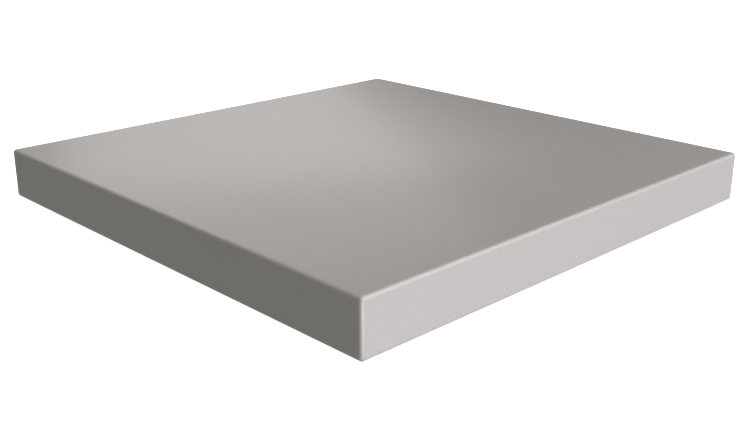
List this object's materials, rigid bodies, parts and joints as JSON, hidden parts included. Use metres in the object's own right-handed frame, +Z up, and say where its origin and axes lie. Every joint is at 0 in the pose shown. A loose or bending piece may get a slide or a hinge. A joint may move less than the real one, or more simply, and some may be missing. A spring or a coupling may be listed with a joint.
{
  "type": "granite slab",
  "caption": "Square block of fine-grained grey granite with eased edges on stick-on rubber feet, a hard flat base for tooling and stamping leather.",
  "frame": {"origin": "centre of the square footprint, on the surface that the feet stand on", "axes": "+Z up, out of the face that leather is worked on; +X to the slab's right and -Y towards its front, along the sides of the square"},
  "size_m": [0.305, 0.305, 0.0345],
  "materials": {
    "granite": "satin",
    "foot_rubber": "matte",
    "adhesive_foam": "matte"
  },
  "bodies": {
    "root": {"granite_slab": "granite", "foot_front_left": "foot_rubber", "foot_front_right": "foot_rubber", "foot_back_left": "foot_rubber", "foot_back_right": "foot_rubber", "adhesive_front_left": "adhesive_foam", "adhesive_front_right": "adhesive_foam", "adhesive_back_left": "adhesive_foam", "adhesive_back_right": "adhesive_foam"}
  },
  "joints": []
}
